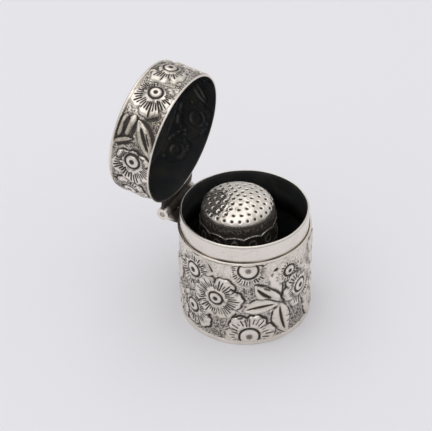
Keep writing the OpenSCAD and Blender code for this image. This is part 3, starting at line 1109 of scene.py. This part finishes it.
def silver_material(name, silver, oxide, patina, scratches, bump):
    """Silver with patina and painted shade from the mesh, an uneven film of tarnish and fine wear.
    """
    material = bpy.data.materials.new(name)
    material.use_nodes = True
    tree = Tree(material.node_tree)
    shader = material.node_tree.nodes["Principled BSDF"]
    amount = tree.add("ShaderNodeAttribute", attribute_name="patina").outputs["Fac"]
    tarnish = tree.add("ShaderNodeAttribute", attribute_name="tarnish").outputs["Fac"]
    finish = tree.add("ShaderNodeGroup",
                      {"Silver": rgba(silver), "Oxide": rgba(oxide), "Amount": amount,
                       "Tarnish": tarnish, **patina},
                      node_tree=shader_group("Settled Patina", patina_and_shade_group))
    wear = tree.add("ShaderNodeGroup", scratches,
                    node_tree=shader_group("Fine Scratches", scratch_group))
    relief = tree.add("ShaderNodeBump", {"Height": wear.outputs["Height"], "Strength": bump,
                                         "Distance": 0.02 * MM})
    tree.feed(shader.inputs["Base Color"], finish.outputs["Color"])
    tree.feed(shader.inputs["Roughness"], finish.outputs["Roughness"])
    tree.feed(shader.inputs["Metallic"], finish.outputs["Metallic"])
    tree.feed(shader.inputs["Normal"], relief.outputs["Normal"])
    return material


def material_named(name):
    """One of the object's finishes, made when it is first asked for."""
    found = bpy.data.materials.get(name)
    if found:
        return found
    look = bpy.context.scene.thimble_case_finish
    along_wall = {"Stretch": (40.0, 40.0, 40.0), "Wear": 0.4}
    round_wall = {"Stretch": (6.0, 6.0, 260.0), "Wear": 0.8}
    recipes = {
        "chased_silver": (look.silver, look.patina,
                          {"Breakup": 0.6, "Film": 0.22, "Polish": 0.27}, along_wall, 0.5),
        "polished_silver": (look.collar, look.patina,
                            {"Breakup": 0.3, "Film": 0.12, "Polish": 0.24}, round_wall, 0.45),
        "tarnished_hinge": (look.silver, look.patina,
                            {"Breakup": 0.6, "Film": 0.3, "Polish": 0.30}, along_wall, 0.5),
        "bright_thimble": (look.collar, look.patina,
                           {"Breakup": 0.3, "Film": 0.40, "Polish": 0.23}, round_wall, 0.4),
        "oxidised_inside": (look.oxide, look.oxide,
                            {"Breakup": 0.2, "Film": 0.10, "Polish": 0.30, "Metal": 0.25},
                            along_wall, 0.8),
    }
    return silver_material(name, *recipes[name])


def outer_and_inner(outer):
    """The named finish of a piece's outer faces and the dark one of its inner faces."""
    return [material_named(outer), material_named("oxidised_inside")]


def embossed_wall(name, sizes, wall):
    """Object of a decorated wall with its ground punched."""
    finishes = outer_and_inner("chased_silver")
    obj = place(name, decorated_wall(name, sizes, wall), finishes)
    punch_ground(obj, sizes, wall.punch_seed, finishes)
    return obj


class OBJECT_OT_case_wall(Operator):
    """Build the embossed wall of the case"""

    bl_idname = "thimble_case.case_wall"
    bl_label = "Case Wall"

    def execute(self, context):
        sizes = context.scene.thimble_case_sizes
        wall = Wall(CASE_FLOWERS, CASE_LEAVES, CASE_STROKES, [], span=(BASE_T, LEDGE_Z),
                    inner_r=CASE_R - WALL_T, rims=(0.03, 0.14), bands=(0.45, 0.40),
                    columns=594, inner_rows=5, dark_from=6, worn=6.5, seed=11, punch_seed=2.0)
        obj = embossed_wall("case_wall", sizes, wall)
        declare(obj, "case", "base_wall")
        return {"FINISHED"}


class OBJECT_OT_case_base(Operator):
    """Build the flat base of the case"""

    bl_idname = "thimble_case.case_base"
    bl_label = "Case Base"

    def execute(self, context):
        columns = 256
        soft = 0.2
        flat = (0.4, 4.0, 9.0)
        profile = [(r, 0.0) for r in flat] + [(CASE_R - soft - 0.4, 0.0)]
        profile += arc(CASE_R - soft, soft, soft, 270, 360, 8)
        profile += [(CASE_R, BASE_T - 0.03), (CASE_R - 0.03, BASE_T)]
        outer_rings = len(profile)
        profile += [(CASE_R - WALL_T, BASE_T)] + [(r, BASE_T) for r in reversed(flat)]
        mesh = ring_mesh("case_base", turned(profile, columns) * MM, ends="poles")
        use_second_material(mesh, columns, outer_rings, len(profile) - 1, pole=1)
        obj = place("case_base", mesh, outer_and_inner("polished_silver"))
        declare(obj, "case", "base_plate")
        return {"FINISHED"}


class OBJECT_OT_collar(Operator):
    """Build the plain collar that the lid slips over"""

    bl_idname = "thimble_case.collar"
    bl_label = "Collar"

    def execute(self, context):
        columns = 288
        side_rings = 14
        top_r = COLLAR_R - COLLAR_LEAN
        round_r = COLLAR_T * 0.45
        groove_z = COLLAR_TOP - round_r - 0.16
        sides = np.linspace(LEDGE_Z, COLLAR_TOP - round_r - 0.35, side_rings)
        lean = np.linspace(0, 1, side_rings)
        profile = [(COLLAR_R, COLLAR_FOOT), (COLLAR_R, (COLLAR_FOOT + LEDGE_Z) / 2)]
        profile += [(COLLAR_R - COLLAR_LEAN * k * 0.92, z) for k, z in zip(lean, sides)]
        profile += [(top_r - 0.02, groove_z - 0.08), (top_r - 0.045, groove_z),
                    (top_r - 0.02, groove_z + 0.08)]
        dark_from = len(profile) + 8
        profile += arc(top_r - round_r, COLLAR_TOP - round_r, round_r, 0, 180, 13)
        profile += [(top_r - COLLAR_T, z) for z in np.linspace(COLLAR_TOP - 0.4, LEDGE_Z, 8)]
        profile += [(COLLAR_R - COLLAR_T, COLLAR_FOOT + 0.05), (COLLAR_R - 0.1, COLLAR_FOOT)]
        rings = turned(profile, columns)
        slow, quick = waves(rings, 6.0, 41), waves(rings, 1.4, 42)
        push_out(rings, 0.024 * np.clip(slow, -1.6, 1.0) - 0.024)
        mesh = ring_mesh("collar_sleeve", rings * MM)
        height = rings[..., 2]
        # dirt and painted shade along the collar's foot, where it meets the ledge
        ledge_dirt_and_shade = hump(height - LEDGE_Z - 0.05, 0.32) * np.clip(0.52 + 0.25 * slow, 0, 1)
        groove = 0.60 * hump(height - groove_z, 0.08)
        smudge = 0.22 * smooth(0.7, 2.2, quick + 0.5 * slow)
        store(mesh, "patina", np.maximum(np.maximum(ledge_dirt_and_shade, groove), smudge))
        use_second_material(mesh, columns, dark_from, len(profile))
        obj = place("collar_sleeve", mesh, outer_and_inner("polished_silver"))
        declare(obj, "case", "collar")
        return {"FINISHED"}


class OBJECT_OT_lid_wall(Operator):
    """Build the embossed wall of the lid, where it stands with the lid open"""

    bl_idname = "thimble_case.lid_wall"
    bl_label = "Lid Wall"

    def execute(self, context):
        sizes = context.scene.thimble_case_sizes
        wall = Wall(LID_FLOWERS, LID_LEAVES, LID_STROKES, LID_TARNISH, span=(LID_Z, LID_TOP_Z),
                    inner_r=LID_INNER_R, rims=(0.13, 0.03), bands=(0.30, 0.10), columns=776,
                    inner_rows=28, dark_from=3, worn=0.5, seed=23, punch_seed=5.0, hollow=0.8)
        obj = embossed_wall("lid_band", sizes, wall)
        obj.data.transform(TO_OPEN)
        declare(obj, "lid", "lid_wall")
        return {"FINISHED"}


class OBJECT_OT_lid_top(Operator):
    """Build the domed top of the lid with its embossed flower"""

    bl_idname = "thimble_case.lid_top"
    bl_label = "Lid Top"

    def execute(self, context):
        sizes = context.scene.thimble_case_sizes
        columns = 480
        rise = CROWN_Z - LID_TOP_Z - TOP_SHOULDER
        span = CASE_R - TOP_SHOULDER
        outer_radii = np.linspace(span, 0.12, 150)
        inner_radii = np.linspace(0.12, LID_INNER_R - TOP_FILLET, 28)

        def crown(radius, reach):
            ball = (reach * reach + rise * rise) / (2 * rise)
            return np.sqrt(ball * ball - radius * radius) - (ball - rise)

        under_z = LID_TOP_Z + TOP_SHOULDER - TOP_T
        under = [(r, under_z + crown(r, LID_INNER_R)) for r in inner_radii]
        under += arc(LID_INNER_R - TOP_FILLET, LID_TOP_Z + 0.005, TOP_FILLET, 78, 0, 6)
        edge = [(LID_INNER_R + 0.03, LID_TOP_Z), (CASE_R - 0.03, LID_TOP_Z),
                (CASE_R, LID_TOP_Z + 0.03)]
        shoulder = arc(span, LID_TOP_Z, TOP_SHOULDER, 10, 84, 9)
        over = [(r, LID_TOP_Z + TOP_SHOULDER + crown(r, span)) for r in outer_radii]
        rings = turned(under + edge + shoulder + over, columns)
        relief = Relief(rings, rings[..., 0].copy(), rings[..., 1].copy(), seed=31)
        for k in range(TOP_LEAVES):
            turn = 2 * math.pi * (k + 0.5) / TOP_LEAVES + math.radians(10)
            way = np.array([math.cos(turn), math.sin(turn)])
            leaf = Leaf(TOP_LEAF_ROOT * way, TOP_LEAF_TIP * way, TOP_LEAF_WIDTH)
            emboss_leaf(relief, leaf, sizes)
        emboss_flower(relief, TOP_FLOWER, sizes, np.random.default_rng(31))
        radius = np.hypot(rings[..., 0], rings[..., 1])
        decorated = 1 - smooth(TOP_GROUND_R - 0.3, TOP_GROUND_R, radius)
        tall = sizes.relief / MM
        lift = (relief.height - tall) * decorated
        lift -= sizes.groove / MM * hump(radius - TOP_LINE_R, TOP_LINE_W)
        rows = np.arange(len(rings))
        is_over = (rows >= len(under) + len(edge) + len(shoulder))[:, None]
        is_under = (rows < len(under))[:, None]
        hollow = 0.5 * (1 - smooth(TOP_LEAF_TIP - 0.5, TOP_LEAF_TIP + 0.3, radius))
        sunk = np.clip(relief.height, 0, None) * hollow - TOP_SINK
        rings[..., 2] += np.where(is_over, lift, 0) + np.where(is_under, sunk * decorated, 0)
        mesh = ring_mesh("lid_top", rings * MM, ends="poles")
        chased = np.maximum(relief.patina * decorated, 0.8 * hump(radius - TOP_LINE_R, TOP_LINE_W))
        # painted shade: the inside corner where the crown meets the wall is darkened
        corner = smooth(LID_INNER_R - 0.6, LID_INNER_R - 0.15, radius) * is_under
        store(mesh, "patina", np.where(is_over, chased, corner))
        store(mesh, "ground", np.where(is_over, relief.ground * decorated, 0))
        use_second_material(mesh, columns, 0, len(under) + 1, pole=0)
        finishes = outer_and_inner("chased_silver")
        obj = place("lid_crown", mesh, finishes)
        punch_ground(obj, sizes, 8.0, finishes)
        obj.data.transform(TO_OPEN)
        declare(obj, "lid", "lid_top")
        return {"FINISHED"}


def worn_copy(node, name, edge):
    """Copy of a CAD node with its points merged and its sharp edges worn round."""
    mesh = frame["nodes"][node].data.copy()
    mesh.name = name
    mesh.materials.clear()
    form = bmesh.new()
    form.from_mesh(mesh)
    bmesh.ops.remove_doubles(form, verts=form.verts, dist=0.002 * MM)
    bmesh.ops.dissolve_limit(form, angle_limit=math.radians(1), verts=form.verts,
                             edges=form.edges)
    form.to_mesh(mesh)
    form.free()
    obj = place(name, mesh, [material_named("tarnished_hinge")])
    bevel = obj.modifiers.new("Worn edges", "BEVEL")
    bevel.width = edge
    bevel.segments = 2
    bevel.limit_method = "ANGLE"
    bevel.angle_limit = math.radians(40)
    settle(obj)
    obj.data.shade_smooth()
    obj.data.set_sharp_from_angle(angle=math.radians(35))
    points = np.array([v.co for v in obj.data.vertices]) / MM
    from_end = HINGE_LEN / 2 - np.abs(points[:, 1])
    from_pin = np.hypot(points[:, 0] - HINGE_X, points[:, 2] - HINGE_Z)
    rubbed = (1 - smooth(0.0, 0.3, from_end)) * (1 - smooth(1.2, 1.45, from_pin))
    store(obj.data, "patina", 0.90 - 0.82 * rubbed)
    return obj


class OBJECT_OT_hinge(Operator):
    """Build the two hinge leaves with their knuckles, and the pin"""

    bl_idname = "thimble_case.hinge"
    bl_label = "Hinge"

    def execute(self, context):
        sizes = context.scene.thimble_case_hinge
        declare(worn_copy("case_leaf", "case_hinge", sizes.edge), "case", "case_leaf")
        declare(worn_copy("lid_leaf", "lid_hinge_leaf", sizes.edge), "lid", "lid_leaf")
        half = HINGE_LEN / 2
        soft = PIN_R * 0.45
        profile = [(PIN_R * 0.2, -half), (PIN_R - soft, -half + 0.04)]
        profile += arc(PIN_R - soft, -half + soft + 0.04, soft, 285, 360, 5)
        profile += arc(PIN_R - soft, half - soft - 0.04, soft, 0, 75, 5)
        profile += [(PIN_R - soft, half - 0.04), (PIN_R * 0.2, half)]
        mesh = ring_mesh("hinge_pin_rod", turned(profile, 32) * MM, ends="poles")
        mesh.transform(Matrix.Translation(HINGE_POINT) @ Matrix.Rotation(math.pi / 2, 4, "X"))
        store(mesh, "patina", np.full(len(mesh.vertices), 0.45))
        pin = place("hinge_pin_rod", mesh, [material_named("tarnished_hinge")])
        declare(pin, "case", "hinge_pin")
        return {"FINISHED"}


def dome_profile(off):
    """Profile of the thimble's dome from the shoulder to the middle, set in by off."""
    shoulder_z = THIMBLE_H - SHOULDER_DROP
    corner = DOME_CORNER - off
    reach = SHOULDER_R - DOME_CORNER
    rise = DOME_RISE - off
    ball = (reach ** 2 + rise ** 2 - corner ** 2) / (2 * (rise - corner))
    meet = math.degrees(math.atan2(ball - rise, reach))
    ball_steps = 14 if off else 54
    corner_steps = 6 if off else 18
    side = arc(reach, shoulder_z, corner, 0, meet, corner_steps)
    last = 90 - math.degrees(0.10 / ball)
    return side + arc(0, shoulder_z + rise - ball, ball, meet, last, ball_steps)[1:]


def profile_curve(points):
    """Curve through the points of a profile, which the rings of dimples are spaced along."""
    line = bpy.data.curves.new("thimble_profile", "CURVE")
    line.dimensions = "3D"
    spline = line.splines.new("POLY")
    spline.points.add(len(points) - 1)
    for point, (r, z) in zip(spline.points, points):
        point.co = (r * MM, 0.0, z * MM, 1.0)
    return line


class OBJECT_OT_thimble(Operator):
    """Build the thimble with its dimples, scalloped band and rolled rim"""

    bl_idname = "thimble_case.thimble"
    bl_label = "Thimble"

    def execute(self, context):
        sizes = context.scene.thimble_case_thimble
        columns = 384
        shoulder_z = THIMBLE_H - SHOULDER_DROP
        bead_r = THIMBLE_BEAD / 2
        mouth_r = (THIMBLE_HIGH[0] - THIMBLE_LOW[0]) / 2 - bead_r / 2
        inside = dome_profile(THIMBLE_T)[::-1] + [(mouth_r - THIMBLE_T + 0.04, THIMBLE_BEAD)]
        bead = arc(mouth_r - bead_r / 2, bead_r, bead_r, 200, 428, 16)
        heights = np.linspace(THIMBLE_BEAD + 0.08, shoulder_z, 150)[:-1]
        lean = (SHOULDER_R - mouth_r) / shoulder_z
        side = [(mouth_r + lean * z, z) for z in heights]
        dome = dome_profile(0)
        profile = inside + bead + side + dome
        rings = turned(profile, columns)
        first = len(inside) + len(bead)
        turn = np.linspace(-math.pi, math.pi, columns, endpoint=False)
        angles, up = np.meshgrid(turn, heights)
        part = rings[first : first + len(heights)].copy()
        relief = Relief(part, angles * SHOULDER_R, up, 2 * math.pi * SHOULDER_R, seed=51)
        bare = self.engrave_band(relief, sizes.scallops)
        push_out(part, relief.height)
        rings[first : first + len(heights)] = part
        over = rings[first + len(heights) :]
        over[..., 2] += 0.016 * waves(over, 1.5, 53) + 0.005 * waves(over, 0.5, 54) - 0.02
        rings += np.array([THIMBLE_X, THIMBLE_Y, BASE_T])
        mesh = ring_mesh("thimble", rings * MM, ends="poles")
        before = np.zeros((first, columns))
        after = np.ones((len(dome), columns))
        rise = over[..., 2] - shoulder_z + 0.05 * waves(over, 0.8, 56)
        film = 1 - smooth(0.94, 1.07, rise)
        store(mesh, "patina", np.concatenate([before, relief.patina, 0.66 * after * film]))
        store(mesh, "ground", np.concatenate([before, relief.ground, after * (1 - film)]))
        store(mesh, "tarnish", 0.9 * np.concatenate([before, bare, after * film]))
        use_second_material(mesh, columns, 0, len(inside), pole=0)
        finishes = outer_and_inner("bright_thimble")
        obj = place("thimble_shell", mesh, finishes)
        line = profile_curve([(0.0, shoulder_z + DOME_RISE)] + dome[::-1] + side[::-1])
        guide = bpy.data.objects.new("thimble_profile", line)
        context.scene.collection.objects.link(guide)
        run_tree(obj, dimple_tree(), {
            "Profile": guide, "Rings": sizes.rings, "Pitch": sizes.pitch, "Width": sizes.dimple,
            "Depth": sizes.depth, "Silver": finishes[0], "Inside": finishes[1]})
        bpy.data.objects.remove(guide)
        bpy.data.curves.remove(line)
        declare(obj, "thimble", "thimble")
        return {"FINISHED"}

    def engrave_band(self, relief, scallops):
        """Raises the thin scalloped line of the band and a row of ovals on a side darkened by
        painted shade; returns the bare part.
        """
        top = THIMBLE_H - SHOULDER_DROP - BAND_DROP
        low = top - BAND_H
        pitch = relief.girth / scallops
        cell = relief.along / pitch + 0.95
        across = (cell - np.floor(cell) - 0.5) * pitch
        reach = np.clip(np.abs(across) / (pitch / 2), 0, 0.985)
        fall = np.sqrt(1 - reach ** 2)
        edge = top - SCALLOP_DROP * (1 - fall)
        slope = SCALLOP_DROP * reach / fall / (pitch / 2)
        gap = (edge - relief.up) / np.sqrt(1 + slope ** 2)
        inside = smooth(-0.06, 0.06, gap) * smooth(low, low + BAND_OUT, relief.up)
        rough = waves(relief.points, 0.45, 55)
        relief.height += 0.020 * rough * (1 - inside)
        # painted shade: the side below the shoulder is dark, darker further down into the case,
        # with uneven tarnish
        painted_shade_below = smooth(0.4, 1.6, THIMBLE_H - SHOULDER_DROP - relief.up)
        uneven = 0.24 * rough * (1 - 0.7 * painted_shade_below)
        relief.patina[:] = np.clip(0.64 + 0.26 * painted_shade_below + uneven, 0, 1)
        # the band itself is painted dark as well: painted shade down in the case
        relief.lay(inside, BAND_OUT * 0.25, 0.88 + 0.10 * relief.grain)
        line = hump(gap, 0.15)
        below = top - relief.up
        oval = np.hypot(across / OVAL_WIDE, (below - OVAL_DROP) / OVAL_TALL)
        ring = np.maximum(hump((oval - 1) * 0.7, 0.11), hump(below - LOWER_LINE_DROP, 0.11))
        raised = np.maximum(line, 0.6 * ring * inside)
        relief.height += BAND_LINE * raised
        relief.patina *= 1 - raised
        relief.ground[:] = 0
        return smooth(0.1, 0.5, relief.up - edge)


class OBJECT_OT_stage(Operator):
    """Build the floor, the light and the camera"""

    bl_idname = "thimble_case.stage"
    bl_label = "Stage"

    def execute(self, context):
        stage = context.scene.thimble_case_stage
        self.make_floor(stage)
        self.make_light()
        self.make_camera(context.scene, stage)
        context.scene.view_settings.view_transform = "Standard"
        return {"FINISHED"}

    def make_floor(self, stage):
        """Wide pale floor that keeps the object's shadow."""
        mesh = bpy.data.meshes.new("floor")
        corners = [(-FLOOR_HALF, -FLOOR_HALF, 0), (FLOOR_HALF, -FLOOR_HALF, 0),
                   (FLOOR_HALF, FLOOR_HALF, 0), (-FLOOR_HALF, FLOOR_HALF, 0)]
        mesh.from_pydata(corners, [], [[0, 1, 2, 3]])
        material = bpy.data.materials.new("pale_floor")
        material.use_nodes = True
        shader = material.node_tree.nodes["Principled BSDF"]
        shader.inputs["Base Color"].default_value = rgba(stage.floor)
        shader.inputs["Roughness"].default_value = 0.9
        shader.inputs["Specular IOR Level"].default_value = 0.1
        floor = place("floor", mesh, [material])

    def make_light(self):
        """Plain soft light: an even world and one wide lamp above and behind."""
        world = bpy.data.worlds.new("soft_studio")
        world.use_nodes = True
        tree = Tree(world.node_tree)
        world.node_tree.nodes.clear()
        rays = tree.add("ShaderNodeLightPath")
        mirrored = tree.math("MAXIMUM", rays.outputs["Is Glossy Ray"],
                             rays.outputs["Is Transmission Ray"])
        seen = tree.math("MAXIMUM", rays.outputs["Is Camera Ray"], mirrored)
        way = tree.add("ShaderNodeTexCoord").outputs["Generated"]
        up = tree.add("ShaderNodeSeparateXYZ", {0: way}).outputs["Z"]
        height = tree.ramp(up, 0.15, 0.8)
        sky = tree.mix(height, LOW_SKY, HIGH_SKY)
        shown = tree.mix(mirrored, BACKGROUND, sky)
        plain = tree.add("ShaderNodeBackground", {"Color": WORLD_COLOUR,
                                                  "Strength": WORLD_STRENGTH})
        backdrop = tree.add("ShaderNodeBackground", {"Color": shown, "Strength": 1.0})
        mixed = tree.add("ShaderNodeMixShader", {0: seen, 1: plain.outputs[0],
                                                 2: backdrop.outputs[0]})
        out = tree.add("ShaderNodeOutputWorld")
        tree.feed(out.inputs["Surface"], mixed.outputs[0])
        bpy.context.scene.world = world
        lamp = bpy.data.lights.new("overhead", "AREA")
        lamp.shape = "RECTANGLE"
        lamp.size, lamp.size_y = LAMP_SIZE
        lamp.energy = LAMP_POWER
        lamp.color = LAMP_COLOUR
        lamp_obj = bpy.data.objects.new("overhead", lamp)
        bpy.context.scene.collection.objects.link(lamp_obj)
        lamp_obj.location = LAMP_PLACE
        aim = Vector((0.0, 0.0, 0.01)) - lamp_obj.location
        lamp_obj.rotation_euler = aim.to_track_quat("-Z", "Y").to_euler()

    def make_camera(self, scene, stage):
        """Camera at the photograph's angle, distance and framing."""
        sin_a, cos_a = math.sin(stage.azimuth), math.cos(stage.azimuth)
        sin_e, cos_e = math.sin(stage.elevation), math.cos(stage.elevation)
        back = Vector((sin_a * cos_e, -cos_a * cos_e, sin_e))
        right = Vector((cos_a, sin_a, 0.0))
        up = back.cross(right)
        sin_r, cos_r = math.sin(stage.roll), math.cos(stage.roll)
        rolled_right = right * cos_r + up * sin_r
        rolled_up = up * cos_r - right * sin_r
        camera = bpy.data.cameras.new("photo_camera")
        camera.sensor_width = 36.0
        camera.lens = stage.lens
        camera.clip_start = 0.01
        obj = bpy.data.objects.new("photo_camera", camera)
        scene.collection.objects.link(obj)
        turn = Matrix((rolled_right, rolled_up, back)).transposed().to_4x4()
        spot = Vector(stage.target) + back * stage.distance
        obj.matrix_world = Matrix.Translation(spot) @ turn
        scene.camera = obj


class VIEW3D_PT_thimble_case(Panel):
    """Sidebar panel with every piece of the case and its sizes"""

    bl_label = "Thimble Case"
    bl_space_type = "VIEW_3D"
    bl_region_type = "UI"
    bl_category = "Thimble Case"

    def draw(self, context):
        layout = self.layout
        for piece in PIECES:
            layout.operator(piece.bl_idname)
        for name in SETTINGS:
            box = layout.box()
            group = getattr(context.scene, name)
            for key in group.bl_rna.properties.keys():
                if key not in {"rna_type", "name"}:
                    box.prop(group, key)


PIECES = [OBJECT_OT_stage, OBJECT_OT_case_wall, OBJECT_OT_case_base, OBJECT_OT_collar,
          OBJECT_OT_lid_wall, OBJECT_OT_lid_top, OBJECT_OT_hinge, OBJECT_OT_thimble]
SETTINGS = {"thimble_case_sizes": CaseSizes, "thimble_case_hinge": HingeSizes,
            "thimble_case_thimble": ThimbleSizes, "thimble_case_finish": SilverFinish,
            "thimble_case_stage": StageSettings}
CLASSES = [*SETTINGS.values(), *PIECES, VIEW3D_PT_thimble_case]


def register():
    """Registers the classes and adds their settings to the scene."""
    for cls in CLASSES:
        bpy.utils.register_class(cls)
    for name, cls in SETTINGS.items():
        setattr(bpy.types.Scene, name, PointerProperty(type=cls))


def unregister():
    """Removes the settings and the classes."""
    for name in SETTINGS:
        delattr(bpy.types.Scene, name)
    for cls in reversed(CLASSES):
        bpy.utils.unregister_class(cls)


def main():
    """Builds the whole object."""
    register()
    bpy.ops.thimble_case.stage()
    bpy.ops.thimble_case.case_wall()
    bpy.ops.thimble_case.case_base()
    bpy.ops.thimble_case.collar()
    bpy.ops.thimble_case.lid_wall()
    bpy.ops.thimble_case.lid_top()
    bpy.ops.thimble_case.hinge()
    bpy.ops.thimble_case.thimble()


if __name__ == "__main__":
    main()
